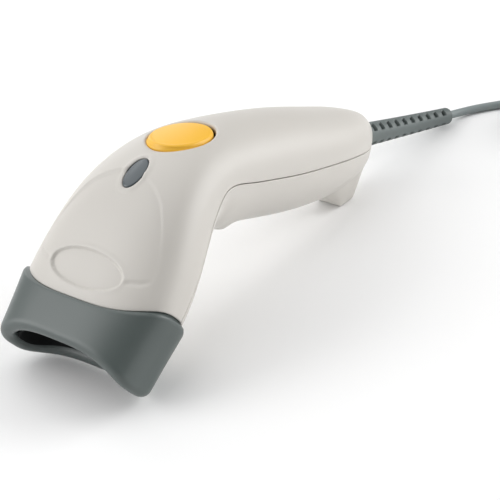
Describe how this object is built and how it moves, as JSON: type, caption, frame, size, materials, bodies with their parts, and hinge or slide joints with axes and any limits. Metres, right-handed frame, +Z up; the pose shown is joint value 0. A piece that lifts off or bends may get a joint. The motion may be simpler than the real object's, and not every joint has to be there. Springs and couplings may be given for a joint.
{
  "type": "handheld barcode scanner",
  "caption": "Corded handheld laser barcode scanner with a bent housing, soft nose bumper, oval trigger button, status lens, slotted strain relief and coiled USB cable.",
  "frame": {"origin": "on the surface that the scanner stands on, below the middle of its length and width, cable left out", "axes": "+Z up, nose towards -X, cable towards +X, Y across the mirror plane Y = 0"},
  "size_m": [0.2726, 0.1203, 0.0656],
  "materials": {
    "housing_plastic": "fine moulded texture",
    "bumper_rubber": "soft matte",
    "button_plastic": "satin",
    "lens_plastic": "smooth",
    "window_clear": "clear red tint",
    "gasket_foam": "foam",
    "circuit_board": "solder mask",
    "black_plastic": "moulded",
    "plated_steel": "plated",
    "zinc_casting": "cast",
    "brass_barrel": "turned",
    "copper_winding": "enamelled wire",
    "mirror_glass": "first surface",
    "red_filter": "red glass",
    "led_clear": "clear",
    "cable_jacket": "satin jacket",
    "plug_contacts": "moulded"
  },
  "bodies": {
    "root": {"upper_housing": "housing_plastic", "lower_housing": "housing_plastic", "nose_bumper": "bumper_rubber", "scan_window": "window_clear", "window_gasket": "gasket_foam", "status_lens": "lens_plastic", "main_board": "circuit_board", "trigger_switch": "black_plastic", "status_led": "led_clear", "beeper": "black_plastic", "decoder_chip": "black_plastic", "interface_chip": "black_plastic", "crystal": "plated_steel", "cable_jack": "black_plastic", "modular_plug": "plug_contacts", "engine_chassis": "zinc_casting", "mirror_pin": "plated_steel", "drive_coil": "copper_winding", "laser_barrel": "brass_barrel", "laser_lens": "led_clear", "laser_diode": "plated_steel", "collecting_mirror": "mirror_glass", "photodiode": "black_plastic", "red_filter": "red_filter", "engine_board": "circuit_board", "engine_screws": "plated_steel", "ribbon_cable": "plug_contacts", "housing_screws": "plated_steel", "board_screws": "plated_steel", "foot_pad": "bumper_rubber", "strain_relief": "cable_jacket", "cable_lead": "cable_jacket", "cable_coil": "cable_jacket", "cable_tail": "cable_jacket", "cable_tie": "black_plastic", "usb_plug_body": "cable_jacket", "usb_plug_shell": "plated_steel", "usb_plug_tongue": "plug_contacts"},
    "button": {"trigger_button": "button_plastic"},
    "plunger": {"switch_plunger": "black_plastic"},
    "mirror": {"scan_mirror": "mirror_glass", "mirror_magnet": "plated_steel"}
  },
  "joints": [
    {"name": "trigger_press", "type": "slide", "parent": "root", "child": "button", "axis": [-0.3256, 0, -0.9455], "range_m": [0, 0.001], "stiffness_N_per_m": 1500, "springref_m": -0.0006},
    {"name": "switch_press", "type": "slide", "parent": "root", "child": "plunger", "axis": [-0.3256, 0, -0.9455], "range_m": [0, 0.00105]},
    {"name": "mirror_swing", "type": "hinge", "parent": "root", "child": "mirror", "pos_m": [-0.04605, 0.003, 0.033], "axis": [-0.6157, 0, 0.788], "range_deg": [-12.5, 12.5], "stiffness_Nm_per_rad": 0.002}
  ],
  "couplings": [
    {"joint": "switch_press", "follows": "trigger_press", "ratio": 1}
  ]
}
